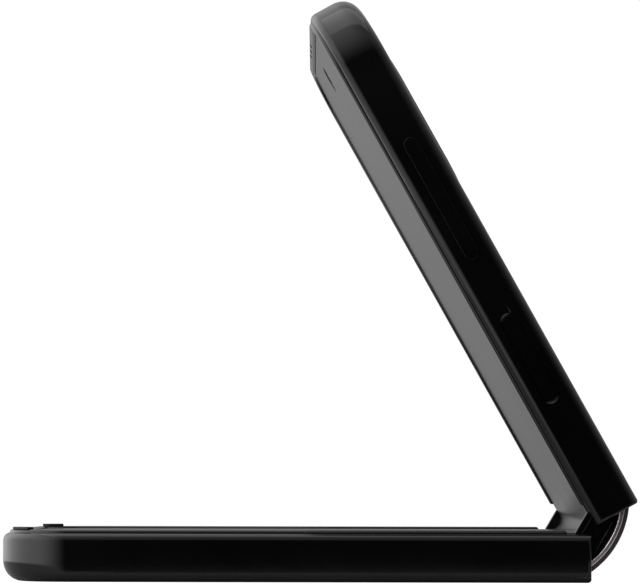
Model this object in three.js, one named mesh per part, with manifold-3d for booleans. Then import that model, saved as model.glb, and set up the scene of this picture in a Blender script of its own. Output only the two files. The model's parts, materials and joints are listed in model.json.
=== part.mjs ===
// Folding handheld computer: two slim halves joined by a geared two-axis hinge, with one
// flexible screen on the inner faces. Millimetres, +Z up. The lower half lies on its back.
import * as THREE from 'three';
import { mergeVertices } from 'three/addons/utils/BufferGeometryUtils.js';
import Module from 'manifold-3d';

const wasm = await Module();
wasm.setup();

// ---------------------------------------------------------------- driving dimensions
const HALF_LENGTH = 84.15;           // one half, from the fold line to its tip
const HALF_WIDTH = 36.8;
const COVER_TOP = 0.8;               // back glass thickness
const FRAME_TOP = 6.95;
const RIM_TOP = 7.4;
const SCREEN_LEVEL = 7.05;           // screen surface
const SCREEN_THICKNESS = 0.5;
const END_INSET = 0.1;               // each half stops this far short of the fold line
const PLAN_RADIUS = 9.5;             // corners seen from above
const WALL = 1.6;
const FIT = 0.06;                    // gap between pieces that are glued or pressed together
const SEAT_GAP = 0.1;                // gap round a piece that moves
const TIP_LOW_RADIUS = 2.9;          // rounding between the back and the tip
const FLANK_LOW_RADIUS = 1.3;        // rounding between the back and the sides
const TOP_RADIUS = 1.1;              // shoulder below the raised rim

const MID_PLATE = { low: 5.1, high: 5.7 };
const SCREEN_PLATE = { low: 5.8, high: 6.45, start: 12.1 };
const RIM_OUTER_INSET = 0.95;
const RIM_INNER_INSET = 2.4;
const RIM_EASE = 0.14;
const RIM_SEAT = 6.3;                // the rim's foot stands on the frame at this height
const RIM_END = 3.5;                 // the rims stop this far from the fold line
const BAY_END = 8.0;                 // inner parts keep clear of the spine up to here
const SCREEN_INSET = RIM_INNER_INSET + 0.08;
const SCREEN_EDGE = HALF_WIDTH - SCREEN_INSET;

const AXIS_SPACING = 3.6;            // between the two hinge axes
const AXIS_SETBACK = AXIS_SPACING / 2;
const AXIS_LEVEL = 6.64;             // the axes lie just under the screen's surface
const OPENING_AT_REST = 60.76;       // angle between the two screens
const TURN = (180 - OPENING_AT_REST) / 2 * Math.PI / 180;
const FOLD_X = HALF_LENGTH / 2;      // fold line of the lower half in the part's frame
const FAR = 90;                      // longer than any cut needs to be

// -------------------------------------------------------------------------- helpers
const toSolid = (geometry) => {
  const g = geometry.clone();
  g.deleteAttribute('normal');
  g.deleteAttribute('uv');
  const welded = mergeVertices(g, 1e-4);
  return new wasm.Manifold(new wasm.Mesh({
    numProp: 3,
    vertProperties: new Float32Array(welded.attributes.position.array),
    triVerts: new Uint32Array(welded.index.array),
  }));
};

const toGeometry = (solid) => {
  const mesh = solid.getMesh();
  const g = new THREE.BufferGeometry();
  g.setAttribute('position', new THREE.BufferAttribute(new Float32Array(mesh.vertProperties), 3));
  g.setIndex(new THREE.BufferAttribute(new Uint32Array(mesh.triVerts), 1));
  return g;
};

const join = (...solids) => solids.reduce((a, b) => a.add(b));
const cut = (solid, ...tools) => tools.reduce((a, b) => a.subtract(b), solid);

const extrude = (shape, depth, steps) =>
  new THREE.ExtrudeGeometry(shape, { depth, bevelEnabled: false, curveSegments: steps });

// Outline in X and Y, raised from z0 to z1.
const raise = (shape, z0, z1, steps = 6) => toSolid(extrude(shape, z1 - z0, steps).translate(0, 0, z0));

// Outline in X and Z, swept across the width from y0 to y1.
const sweep = (shape, y0, y1, steps = 6) =>
  toSolid(extrude(shape, y1 - y0, steps).rotateX(Math.PI / 2).translate(0, y1, 0));

// Outline in Y and Z, swept along X from x0 to x1.
const pierce = (shape, x0, x1, steps = 8) => {
  const yzx = new THREE.Matrix4().set(0, 0, 1, x0, 1, 0, 0, 0, 0, 1, 0, 0, 0, 0, 0, 1);
  return toSolid(extrude(shape, x1 - x0, steps).applyMatrix4(yzx));
};

const polygon = (points) => new THREE.Shape(points.map(([a, b]) => new THREE.Vector2(a, b)));

const roundedRect = (a0, a1, b0, b1, r) => {
  const quarter = Math.PI / 2;
  const s = new THREE.Shape();
  s.moveTo(a0 + r, b0);
  s.lineTo(a1 - r, b0);
  s.absarc(a1 - r, b0 + r, r, -quarter, 0);
  s.lineTo(a1, b1 - r);
  s.absarc(a1 - r, b1 - r, r, 0, quarter);
  s.lineTo(a0 + r, b1);
  s.absarc(a0 + r, b1 - r, r, quarter, 2 * quarter);
  s.lineTo(a0, b0 + r);
  s.absarc(a0 + r, b0 + r, r, 2 * quarter, 3 * quarter);
  return s;
};

const disc = (a, b, r) => {
  const s = new THREE.Shape();
  s.absarc(a, b, r, 0, Math.PI * 2);
  return s;
};

const arcPoints = (ca, cb, r, from, to, steps) => Array.from({ length: steps + 1 }, (_, i) => {
  const angle = from + (i / steps) * (to - from);
  return [ca + r * Math.cos(angle), cb + r * Math.sin(angle)];
});

const box = (x0, x1, y0, y1, z0, z1) => {
  const g = new THREE.BoxGeometry(Math.abs(x1 - x0), y1 - y0, z1 - z0);
  return toSolid(g.translate((x0 + x1) / 2, (y0 + y1) / 2, (z0 + z1) / 2));
};

const drum = (x, y, r, z0, z1, segments = 24) => {
  const g = new THREE.CylinderGeometry(r, r, z1 - z0, segments);
  return toSolid(g.rotateX(Math.PI / 2).translate(x, y, (z0 + z1) / 2));
};

// Slab with rounded corners, given by its extents.
const slab = ({ x, y, z, r }, steps = 3) => raise(roundedRect(...x, ...y, r), ...z, steps);

// Span across the width on the near (end -1) or far (end 1) side.
const across = (end, low, high) => (end < 0 ? [-high, -low] : [low, high]);

// Inset of a wall at height z, for a slab whose lower and upper edges are rounded.
const edgeInset = (z, lowRadius, highRadius, top) => {
  if (z < lowRadius) return lowRadius - Math.sqrt(lowRadius ** 2 - (lowRadius - z) ** 2);
  const rise = z - (top - highRadius);
  if (rise > 0) return highRadius - Math.sqrt(Math.max(0, highRadius ** 2 - rise ** 2));
  return 0;
};

// Heights that divide a quarter round evenly by angle.
const quarterHeights = (radius, steps) =>
  Array.from({ length: steps + 1 }, (_, i) => radius * (1 - Math.cos(i / steps * Math.PI / 2)));

// Solid through a stack of outlines. Each outline is square at the fold end and round at
// the tip. side is -1 for the half that runs towards -X, +1 for the other.
const CORNER_STEPS = 9;
const stack = (side, levels) => {
  const rings = levels.map(({ z, start, tip, flank, radius }) => {
    const right = arcPoints(tip - radius, -flank + radius, radius, -Math.PI / 2, 0, CORNER_STEPS);
    const left = arcPoints(tip - radius, flank - radius, radius, 0, Math.PI / 2, CORNER_STEPS);
    const ring = [[start, -flank], ...right, ...left, [start, flank]];
    const placed = ring.map(([u, y]) => [side * u, y, z]);
    return side < 0 ? placed.reverse() : placed;
  });
  const n = rings[0].length;
  const index = [];
  for (let k = 0; k + 1 < rings.length; k++) {
    for (let i = 0; i < n; i++) {
      const a = k * n + i;
      const b = k * n + (i + 1) % n;
      index.push(a, b, b + n, a, b + n, a + n);
    }
  }
  const last = (rings.length - 1) * n;
  for (let i = 1; i + 1 < n; i++) {
    index.push(0, i + 1, i, last, last + i, last + i + 1);
  }
  const g = new THREE.BufferGeometry();
  g.setAttribute('position', new THREE.Float32BufferAttribute(rings.flat(2), 3));
  g.setIndex(index);
  return toSolid(g);
};

// Outline of the outer body at height z.
const bodyLevel = (z) => {
  const tipInset = edgeInset(z, TIP_LOW_RADIUS, TOP_RADIUS, FRAME_TOP);
  const flankInset = edgeInset(z, FLANK_LOW_RADIUS, TOP_RADIUS, FRAME_TOP);
  return {
    z,
    start: END_INSET,
    tip: HALF_LENGTH - tipInset,
    flank: HALF_WIDTH - flankInset,
    radius: PLAN_RADIUS - (tipInset + flankInset) / 2,
  };
};

// Outer body between two heights.
const bodyBetween = (side, low, high) => {
  const shoulder = quarterHeights(TOP_RADIUS, 4).map((h) => FRAME_TOP - h);
  const marks = [...quarterHeights(TIP_LOW_RADIUS, 8), ...shoulder];
  const between = marks.filter((z) => z > low + 0.05 && z < high - 0.05).sort((a, b) => a - b);
  return stack(side, [low, ...between, high].map(bodyLevel));
};

// The body's largest outline moved inwards.
const insetLevel = (inset, z, start = END_INSET) => ({
  z,
  start,
  tip: HALF_LENGTH - inset,
  flank: HALF_WIDTH - inset,
  radius: PLAN_RADIUS - inset,
});
const insetBlock = (side, inset, z0, z1, start) =>
  stack(side, [insetLevel(inset, z0, start), insetLevel(inset, z1, start)]);

// ------------------------------------------------------------------------- finishes
const finish = (colour, roughness, metalness) =>
  new THREE.MeshStandardMaterial({ color: colour, roughness, metalness });
const frameMetal = finish(0x101114, 0.32, 0.8);
const backGlass = finish(0x08080a, 0.12, 0.1);
const rimPlastic = finish(0x141416, 0.4, 0);
const screenFilm = finish(0x1b1d1f, 0.16, 0);
const spineMetal = finish(0x2a2023, 0.2, 0.85);
const hingeSteel = finish(0x8d9094, 0.35, 1);
const plateSteel = finish(0x9a9c9e, 0.4, 1);
const rubber = finish(0x1a1a1b, 0.8, 0);
const cellFoil = finish(0x2b2c2e, 0.5, 0.1);
const boardLacquer = finish(0x173524, 0.5, 0);
const copper = finish(0xb06a3a, 0.35, 1);
const lensGlass = finish(0x07090f, 0.05, 0);
const keyMetal = finish(0x15161a, 0.3, 0.8);
const lightPlastic = finish(0xe8e2cf, 0.4, 0);

// Placement of each body's own frame. Positive angles lift +X towards +Z.
const turned = (angle) => new THREE.Matrix4().makeRotationY(-angle);
const moved = (x, z) => new THREE.Matrix4().makeTranslation(x, 0, z);
const lowerAxis = [FOLD_X - AXIS_SETBACK, AXIS_LEVEL];
const upperAxis = [
  lowerAxis[0] + AXIS_SPACING * Math.cos(TURN),
  lowerAxis[1] + AXIS_SPACING * Math.sin(TURN),
];
const LOWER_PLACE = moved(FOLD_X, 0);
const SPINE_PLACE = moved(...lowerAxis).multiply(turned(TURN)).multiply(moved(AXIS_SETBACK, 0));
const UPPER_PLACE = moved(...upperAxis)
  .multiply(turned(2 * TURN))
  .multiply(moved(-AXIS_SETBACK, -AXIS_LEVEL));

const group = new THREE.Group();
group.name = 'folding_handheld';
const addPiece = (placement) => (name, solid, material) => {
  const g = toGeometry(solid);
  g.applyMatrix4(placement);
  g.computeVertexNormals();
  const mesh = new THREE.Mesh(g, material);
  mesh.name = name;
  group.add(mesh);
};
const addLower = addPiece(LOWER_PLACE);
const addSpine = addPiece(SPINE_PLACE);
const addUpper = addPiece(UPPER_PLACE);
const LOWER = -1;
const UPPER = 1;

// ------------------------------------------------------------- pieces in both halves
// Side wall, rim seat and web, before the openings of each half are cut.
const frameBlank = (side) => {
  const inner = HALF_WIDTH - WALL;
  return cut(
    bodyBetween(side, COVER_TOP + FIT, FRAME_TOP - 0.01),
    insetBlock(side, WALL, 0, MID_PLATE.low, -1),
    insetBlock(side, WALL, MID_PLATE.high, RIM_TOP, -1),
    insetBlock(side, RIM_OUTER_INSET - FIT, RIM_SEAT, RIM_TOP, -1),
    box(-side, side * BAY_END, -inner, inner, 0, RIM_TOP),
  );
};

const coverBlank = (side) => bodyBetween(side, 0, COVER_TOP);

// Raised border round three sides of the screen, with its upper edges eased.
const rimBlank = (side) => cut(
  stack(side, [
    insetLevel(RIM_OUTER_INSET, RIM_SEAT + FIT, RIM_END),
    insetLevel(RIM_OUTER_INSET, RIM_TOP - RIM_EASE, RIM_END),
    insetLevel(RIM_OUTER_INSET + RIM_EASE / 3, RIM_TOP - RIM_EASE / 3, RIM_END),
    insetLevel(RIM_OUTER_INSET + RIM_EASE, RIM_TOP, RIM_END),
  ]),
  stack(side, [
    insetLevel(RIM_INNER_INSET, RIM_SEAT - 1, 0),
    insetLevel(RIM_INNER_INSET, RIM_TOP - RIM_EASE, 0),
    insetLevel(RIM_INNER_INSET - RIM_EASE, RIM_TOP + 0.01, 0),
  ]),
);

// The screen bends round this radius at rest, so that its length along the fold is kept.
const AXIS_COVER = SCREEN_LEVEL - AXIS_LEVEL;
const foldReach = (AXIS_SETBACK - AXIS_COVER * Math.sin(TURN)) / Math.cos(TURN);
const FOLD_RADIUS = (foldReach - AXIS_SETBACK) / (Math.tan(TURN) - TURN);
const SCREEN_START = FOLD_RADIUS * TURN + 0.07;
const screenBlank = (side) =>
  insetBlock(side, SCREEN_INSET, SCREEN_LEVEL - SCREEN_THICKNESS, SCREEN_LEVEL, SCREEN_START);
const screenPlateBlank = (side) =>
  insetBlock(side, SCREEN_INSET + 0.3, SCREEN_PLATE.low, SCREEN_PLATE.high, SCREEN_PLATE.start);

// Bracket of one half with the curved rail that runs in the hinge base. The rail is centred
// on the half's own axis.
const RAIL = { inner: 2.3, outer: 3.2, from: Math.PI * 1.03, to: Math.PI * 1.66 };
const WING = { start: 2.4, end: 11.9, low: 5.8, high: 6.5, inner: 12.5, outer: 33.4 };
const LOWER_RAIL_SPAN = [26.5, 30.5];
const UPPER_RAIL_SPAN = [17.5, 21.5];
const wing = (side, end, railSpan) => {
  const width = across(end, WING.inner, WING.outer);
  const plate = box(side * WING.start, side * WING.end, ...width, WING.low, WING.high);
  const outer = arcPoints(0, 0, RAIL.outer, RAIL.from, RAIL.to, 14);
  const inner = arcPoints(0, 0, RAIL.inner, RAIL.to, RAIL.from, 14);
  const section = [...outer, ...inner].map(([a, b]) => [side * (AXIS_SETBACK - a), AXIS_LEVEL + b]);
  const rail = polygon(side < 0 ? section : section.reverse());
  return join(plate, sweep(rail, ...across(end, ...railSpan)));
};

// --------------------------------------------------------------------- lower half
const SOCKET = { z: 3.5, halfWidth: 4.47, halfHeight: 1.28, clearance: 0.12, wall: 0.3 };
const SPEAKER = { slots: 5, pitch: 2.2, first: 13, length: 1.6, height: 0.8 };
const MICROPHONE = { y: 9.5, z: 3.5, r: 0.45 };

const socketOutline = (grow) => roundedRect(
  -SOCKET.halfWidth - grow,
  SOCKET.halfWidth + grow,
  SOCKET.z - SOCKET.halfHeight - grow,
  SOCKET.z + SOCKET.halfHeight + grow,
  SOCKET.halfHeight + grow - 0.01,
);
const throughLowerTip = (outline, steps) =>
  pierce(outline, -HALF_LENGTH - 1, -HALF_LENGTH + WALL + 1, steps);
const speakerSlots = Array.from({ length: SPEAKER.slots }, (_, i) => {
  const y = SPEAKER.first + i * SPEAKER.pitch;
  const low = SOCKET.z - SPEAKER.height / 2;
  const outline = roundedRect(
    y - SPEAKER.length / 2, y + SPEAKER.length / 2, low, low + SPEAKER.height, SPEAKER.height / 2 - 0.02);
  return throughLowerTip(outline, 4);
});
addLower('lower_frame', cut(
  frameBlank(LOWER),
  throughLowerTip(socketOutline(SOCKET.clearance)),
  throughLowerTip(disc(-MICROPHONE.y, MICROPHONE.z, MICROPHONE.r), 6),
  ...speakerSlots,
), frameMetal);
addLower('lower_back_cover', coverBlank(LOWER), backGlass);
addLower('lower_rim', rimBlank(LOWER), rimPlastic);
addLower('lower_screen', screenBlank(LOWER), screenFilm);
addLower('lower_screen_plate', screenPlateBlank(LOWER), plateSteel);
addLower('main_battery', slab({ x: [-63, -17], y: [-24, 24], z: [1.45, 4.95], r: 1.5 }), cellFoil);

const COIL = { x: -40, outer: 21, inner: 12, low: 0.95, high: 1.3 };
addLower('charging_coil', cut(
  drum(COIL.x, 0, COIL.outer, COIL.low, COIL.high, 40),
  drum(COIL.x, 0, COIL.inner, COIL.low - 1, COIL.high + 1, 32),
), copper);
addLower('sub_board', slab({ x: [-80.5, -66], y: [-30, 30], z: [0.95, 1.75], r: 1 }), boardLacquer);

const SOCKET_DEPTH = 11;
const socketBack = -HALF_LENGTH + SOCKET_DEPTH;
const portShell = cut(
  pierce(socketOutline(0), -HALF_LENGTH + 0.35, socketBack),
  pierce(socketOutline(-SOCKET.wall), -HALF_LENGTH, socketBack - 1.5),
);
const TONGUE = { recess: 1.2, halfWidth: 3.3, halfHeight: 0.32 };
const portTongue = box(
  -HALF_LENGTH + TONGUE.recess,
  socketBack - 1,
  -TONGUE.halfWidth,
  TONGUE.halfWidth,
  SOCKET.z - TONGUE.halfHeight,
  SOCKET.z + TONGUE.halfHeight,
);
addLower('usb_c_port', join(portShell, portTongue), plateSteel);
addLower('loudspeaker', slab({ x: [-80.6, -66.5], y: [11.5, 28], z: [1.85, 4.95], r: 1 }), rubber);
addLower('vibration_motor', drum(-73, -20, 4.6, 1.85, 4.7, 28), plateSteel);

// Soft pads on the rim's two tip corners keep the closed halves apart.
const BUMPER = { margin: 0.1, from: 20 * Math.PI / 180, to: 49 * Math.PI / 180, height: 0.36, ease: 0.12 };
const bumper = (end) => {
  const u = HALF_LENGTH - PLAN_RADIUS;
  const y = HALF_WIDTH - PLAN_RADIUS;
  const patch = (inset, z0, z1) => {
    const outer = PLAN_RADIUS - RIM_OUTER_INSET - BUMPER.margin - inset;
    const inner = PLAN_RADIUS - RIM_INNER_INSET + BUMPER.margin + inset;
    const trim = inset / outer;
    const points = [
      ...arcPoints(u, y, outer, BUMPER.from + trim, BUMPER.to - trim, 8),
      ...arcPoints(u, y, inner, BUMPER.to - trim, BUMPER.from + trim, 8),
    ].map(([a, b]) => [-a, end * b]);
    return raise(polygon(end > 0 ? points.reverse() : points), RIM_TOP + z0, RIM_TOP + z1);
  };
  return join(patch(0, 0.02, BUMPER.height - BUMPER.ease), patch(BUMPER.ease, 0.1, BUMPER.height));
};
for (const [name, end] of [['near', -1], ['far', 1]]) {
  addLower(`bumper_${name}`, bumper(end), rubber);
  addLower(`lower_wing_${name}`, wing(LOWER, end, LOWER_RAIL_SPAN), hingeSteel);
}

// ------------------------------------------------------------------------- spine
// Section coordinates: origin midway between the two hinge axes, second value towards the
// inside of the fold.
const SPINE_HALF_WIDTH = 34.9;
const SPINE_WALL = 1.25;
const SPINE_LIP = -1.4;
const SPINE_BACK = { radius: 12.8, bottom: -5.3, half: 24 * Math.PI / 180 };
const SPINE_SIDE_RADIUS = 3.5;
const backCentre = SPINE_BACK.bottom + SPINE_BACK.radius;
const radiusDrop = SPINE_BACK.radius - SPINE_SIDE_RADIUS;
const sideCentre = [
  radiusDrop * Math.sin(SPINE_BACK.half),
  backCentre - radiusDrop * Math.cos(SPINE_BACK.half),
];

const spineOutline = (inset) => {
  const down = -Math.PI / 2;
  const corner = down + SPINE_BACK.half;
  const sideRadius = SPINE_SIDE_RADIUS - inset;
  const lip = Math.asin((SPINE_LIP - sideCentre[1]) / sideRadius);
  const right = [
    ...arcPoints(0, backCentre, SPINE_BACK.radius - inset, down, corner, 8),
    ...arcPoints(...sideCentre, sideRadius, corner, lip, 8).slice(1),
  ];
  const left = right.slice(1).reverse().map(([u, v]) => [-u, v]);
  return [...left, ...right];
};
const spineSkin = polygon([...spineOutline(0), ...spineOutline(SPINE_WALL).reverse()]);
addSpine('spine_cover', sweep(spineSkin, -SPINE_HALF_WIDTH, SPINE_HALF_WIDTH), spineMetal);

const CAP = { inner: 33.9, recessed: 34.4, proud: 34.75, ledge: -3.15 };
const endCap = (end) => {
  const outline = polygon(spineOutline(SPINE_WALL + FIT));
  const below = box(-FAR, FAR, -FAR, FAR, -FAR, CAP.ledge);
  const shelf = sweep(outline, ...across(end, CAP.inner, CAP.proud)).intersect(below);
  return join(sweep(outline, ...across(end, CAP.inner, CAP.recessed)), shelf);
};

// Block with the grooves in which both halves' rails run.
const BASE = { inner: 14, outer: 33.6, top: -1.25, half: 4.2, groove: 0.15, grooveEnd: 0.2 };
const hingeBase = (end) => {
  const radius = SPINE_BACK.radius - SPINE_WALL - FIT;
  const corner = Math.acos(BASE.half / radius);
  const section = [
    [-BASE.half, BASE.top],
    ...arcPoints(0, backCentre, radius, -Math.PI + corner, -corner, 8),
    [BASE.half, BASE.top],
  ];
  const groove = (u, span) => {
    const ring = disc(u, 0, RAIL.outer + BASE.groove);
    ring.holes.push(disc(u, 0, RAIL.inner - BASE.groove));
    return sweep(ring, ...across(end, span[0] - BASE.grooveEnd, span[1] + BASE.grooveEnd), 32);
  };
  return cut(
    sweep(polygon(section), ...across(end, BASE.inner, BASE.outer)),
    groove(-AXIS_SETBACK, LOWER_RAIL_SPAN),
    groove(AXIS_SETBACK, UPPER_RAIL_SPAN),
  );
};

// Cap that fills the gap between the two rims' ends and its foot in front of the end cap.
const BRIDGE = { half: 1.9, low: -0.25, high: 0.75, r: 0.3, inner: 34.45, outer: 35.8 };
const BRIDGE_FOOT = { half: 0.7, low: -2.4, high: 0, r: 0.1, outer: 34.85 };
const rimBridge = (end) => join(
  sweep(roundedRect(-BRIDGE.half, BRIDGE.half, BRIDGE.low, BRIDGE.high, BRIDGE.r),
    ...across(end, BRIDGE.inner, BRIDGE.outer), 4),
  sweep(roundedRect(-BRIDGE_FOOT.half, BRIDGE_FOOT.half, BRIDGE_FOOT.low, BRIDGE_FOOT.high, BRIDGE_FOOT.r),
    ...across(end, BRIDGE.inner, BRIDGE_FOOT.outer), 2),
);
for (const [name, end] of [['near', -1], ['far', 1]]) {
  addSpine(`spine_end_cap_${name}`, endCap(end), rimPlastic);
  addSpine(`hinge_base_${name}`, hingeBase(end), hingeSteel);
  addSpine(`rim_bridge_${name}`, rimBridge(end), rimPlastic);
}

// The screen's bend: an arc that is tangent to both flat parts.
const foldApex = AXIS_COVER / Math.cos(TURN) - AXIS_SETBACK * Math.tan(TURN);
const foldCentre = foldApex + FOLD_RADIUS / Math.cos(TURN);
const bendArc = (radius) => {
  const down = -Math.PI / 2;
  const half = TURN - 0.02;
  return arcPoints(0, foldCentre, radius, down - half, down + half, 14);
};
const bendSection = polygon([...bendArc(FOLD_RADIUS + SCREEN_THICKNESS), ...bendArc(FOLD_RADIUS).reverse()]);
addSpine('screen_fold', sweep(bendSection, -SCREEN_EDGE + 1, SCREEN_EDGE - 1), screenFilm);

// Ribbon that carries the signals from half to half, under the bend.
const RIBBON = { halfWidth: 7, halfThickness: 0.09, bottom: -3.3 };
const ribbonPath = () => {
  const inHalf = (side, u, z) => {
    const along = u - AXIS_SETBACK;
    const above = z - AXIS_LEVEL;
    return new THREE.Vector2(
      side * (AXIS_SETBACK + along * Math.cos(TURN) - above * Math.sin(TURN)),
      along * Math.sin(TURN) + above * Math.cos(TURN),
    );
  };
  const inside = (side) => [inHalf(side, 13, 4.4), inHalf(side, 10, 4.3), inHalf(side, 6.5, 3.9)];
  const middle = new THREE.Vector2(0, RIBBON.bottom);
  return new THREE.SplineCurve([...inside(-1), middle, ...inside(1).reverse()]).getPoints(24);
};
const ribbonSection = () => {
  const path = ribbonPath();
  const offset = (distance) => path.map((p, i) => {
    const before = path[Math.max(0, i - 1)];
    const after = path[Math.min(path.length - 1, i + 1)];
    const along = after.clone().sub(before).normalize();
    return [p.x - along.y * distance, p.y + along.x * distance];
  });
  return polygon([...offset(-RIBBON.halfThickness), ...offset(RIBBON.halfThickness).reverse()]);
};
addSpine('hinge_flex_cable', sweep(ribbonSection(), -RIBBON.halfWidth, RIBBON.halfWidth), copper);

// --------------------------------------------------------------------- upper half
// Key positions along the half, measured from the fold line.
const VOLUME = { u: 51.35, z: 3.5, length: 19.6, height: 2.1 };
const POWER = { u: 25.4, z: 3.6, length: 14.4, height: 2.5 };
const TRAY = { u: 40, z: 3.55, length: 16.4, height: 2.2 };
const keyOutline = (key, grow = 0) => {
  const halfLength = key.length / 2 + grow;
  const halfHeight = key.height / 2 + grow;
  return roundedRect(
    key.u - halfLength, key.u + halfLength, key.z - halfHeight, key.z + halfHeight, halfHeight - 0.01);
};
const throughNearWall = (outline) => sweep(outline, -HALF_WIDTH - 1, -HALF_WIDTH + WALL + 1);
const throughFarWall = (outline) => sweep(outline, HALF_WIDTH - WALL - 1, HALF_WIDTH + 1);

const EYE = { u: 77.2, lens: 2.15, window: 2.25, body: 2.6, hole: 2.75 };
const eyeHole = (radius) => drum(EYE.u, 0, radius, MID_PLATE.low - 1, RIM_TOP + 1, 32);
addUpper('upper_frame', cut(
  frameBlank(UPPER),
  throughNearWall(keyOutline(VOLUME, SEAT_GAP)),
  throughNearWall(keyOutline(POWER, SEAT_GAP)),
  throughFarWall(keyOutline(TRAY, SEAT_GAP)),
  eyeHole(EYE.hole),
  pierce(disc(MICROPHONE.y, MICROPHONE.z, MICROPHONE.r), HALF_LENGTH - WALL - 1, HALF_LENGTH + 1, 6),
), frameMetal);

const ISLAND = { u: [51.0, 74.2], y: [-33.3, -22.3], r: 5.4, proud: 0.3, lip: 0.25, lipHeight: 0.12 };
const ISLAND_FOOT = COVER_TOP - 0.05;
const islandY = (ISLAND.y[0] + ISLAND.y[1]) / 2;
const FLASH = { u: 71.3, y: -18.4, r: 1.9 };
const DISPLAY = { u: [58.5, 70.2], y: [-14.2, 13.0], r: 1.6 };
const panelOutline = ({ u, y, r }, grow = 0) =>
  roundedRect(u[0] - grow, u[1] + grow, y[0] - grow, y[1] + grow, r + grow);
addUpper('upper_back_cover', cut(
  coverBlank(UPPER),
  raise(panelOutline(ISLAND, FIT), -1, COVER_TOP + 1, 10),
  drum(FLASH.u, FLASH.y, FLASH.r + FIT, -1, COVER_TOP + 1),
  raise(panelOutline(DISPLAY, FIT), -1, COVER_TOP + 1),
), backGlass);

const EARPIECE = { u: HALF_LENGTH - 1.95, pitch: 6.6, length: 2.2, width: 0.55 };
const earpieceSlots = [-1, 0, 1].map((k) => {
  const y = k * EARPIECE.pitch;
  const outline = roundedRect(
    EARPIECE.u, EARPIECE.u + EARPIECE.width, y - EARPIECE.length / 2, y + EARPIECE.length / 2, 0.26);
  return raise(outline, RIM_SEAT - 1, RIM_TOP + 1, 4);
});
addUpper('upper_rim', cut(rimBlank(UPPER), ...earpieceSlots), rimPlastic);
addUpper('upper_screen', cut(screenBlank(UPPER), eyeHole(EYE.window)), screenFilm);
addUpper('upper_screen_plate', cut(screenPlateBlank(UPPER), eyeHole(EYE.hole)), plateSteel);
addUpper('upper_battery', slab({ x: [17, 46], y: [-30, 24], z: [1.45, 3.0], r: 1.5 }), cellFoil);

const mainBoard = join(
  slab({ x: [48.5, 80.5], y: [-20.5, 30], z: [1.7, 2.4], r: 1 }),
  slab({ x: [50.5, 62], y: [-19, 4], z: [2.3, 4.6], r: 0.8 }),
  slab({ x: [64, 73], y: [-19, -3], z: [2.3, 4.2], r: 0.8 }),
  slab({ x: [50.5, 73], y: [7, 28], z: [2.3, 4.4], r: 0.8 }),
);
addUpper('main_board', cut(mainBoard, drum(FLASH.u, FLASH.y, FLASH.r + 0.5, 0, 3)), boardLacquer);
addUpper('front_camera', join(
  drum(EYE.u, 0, EYE.lens, SCREEN_PLATE.low, SCREEN_LEVEL - 0.07, 32),
  drum(EYE.u, 0, EYE.body, 4.6, SCREEN_PLATE.low + 0.35),
), lensGlass);
addUpper('earpiece', box(81.3, 82.4, -8.5, 8.5, 3.2, 5.0), rubber);

const LENSES = { main: 68.6, wide: 56.6 };
const LENS_RADIUS = 4.2;
const lensHole = (u) => drum(u, islandY, LENS_RADIUS + SEAT_GAP, -2, 2, 36);
addUpper('camera_island', cut(
  join(
    raise(panelOutline(ISLAND, -ISLAND.lip), -ISLAND.proud, 0, 10),
    raise(panelOutline(ISLAND), -ISLAND.proud + ISLAND.lipHeight, ISLAND_FOOT, 10),
  ),
  ...Object.values(LENSES).map(lensHole),
), keyMetal);
for (const [name, u] of Object.entries(LENSES)) {
  const lens = drum(u, islandY, LENS_RADIUS, 0.1 - ISLAND.proud, ISLAND_FOOT, 36);
  addUpper(`${name}_camera_lens`, lens, lensGlass);
}
addUpper('rear_camera_module', join(
  slab({ x: [51.4, 73.8], y: [-33, -22.6], z: [0.95, 3.2], r: 2 }),
  drum(LENSES.main, islandY, 4.6, 3.1, 4.9),
  drum(LENSES.wide, islandY, 4.6, 3.1, 4.5),
), cellFoil);
addUpper('flash_window', drum(FLASH.u, FLASH.y, FLASH.r, 0.03, 1.6), lightPlastic);
addUpper('cover_display', raise(panelOutline(DISPLAY), 0.02, 1.3), lensGlass);
for (const [name, end] of [['near', -1], ['far', 1]]) {
  addUpper(`upper_wing_${name}`, wing(UPPER, end, UPPER_RAIL_SPAN), hingeSteel);
}

// Keys: a stadium-shaped face through the side wall and a wider flange behind it.
const FLANGE = { gap: 0.35, thickness: 0.5, longer: 1.6, taller: 0.4 };
const KEY_DEPTH = WALL + FLANGE.gap + FLANGE.thickness / 2;
const withFlange = (key, face) => {
  const wide = { ...key, length: key.length + FLANGE.longer, height: key.height + FLANGE.taller };
  const y = -HALF_WIDTH + WALL + FLANGE.gap;
  return join(face, sweep(keyOutline(wide), y, y + FLANGE.thickness, 5));
};
const ROCKER = { proud: 0.42, crown: 0.17, crownInset: 0.2 };
addUpper('volume_key', withFlange(VOLUME, join(
  sweep(keyOutline(VOLUME), -HALF_WIDTH - ROCKER.proud + ROCKER.crown, -HALF_WIDTH + KEY_DEPTH),
  sweep(keyOutline(VOLUME, -ROCKER.crownInset), -HALF_WIDTH - ROCKER.proud, -HALF_WIDTH),
)), keyMetal);

// The power key carries the fingerprint reader in a shallow dish along its length.
const DISH = { end: 0.5, depth: 0.9 };
const dish = new THREE.Shape();
const dishHalf = POWER.length / 2 - DISH.end;
dish.moveTo(POWER.u - dishHalf, -HALF_WIDTH - 0.2);
dish.quadraticCurveTo(POWER.u, -HALF_WIDTH + DISH.depth, POWER.u + dishHalf, -HALF_WIDTH - 0.2);
addUpper('power_key', withFlange(POWER, cut(
  sweep(keyOutline(POWER), -HALF_WIDTH + 0.1, -HALF_WIDTH + KEY_DEPTH),
  raise(dish, 0, RIM_TOP, 10),
)), keyMetal);

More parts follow.
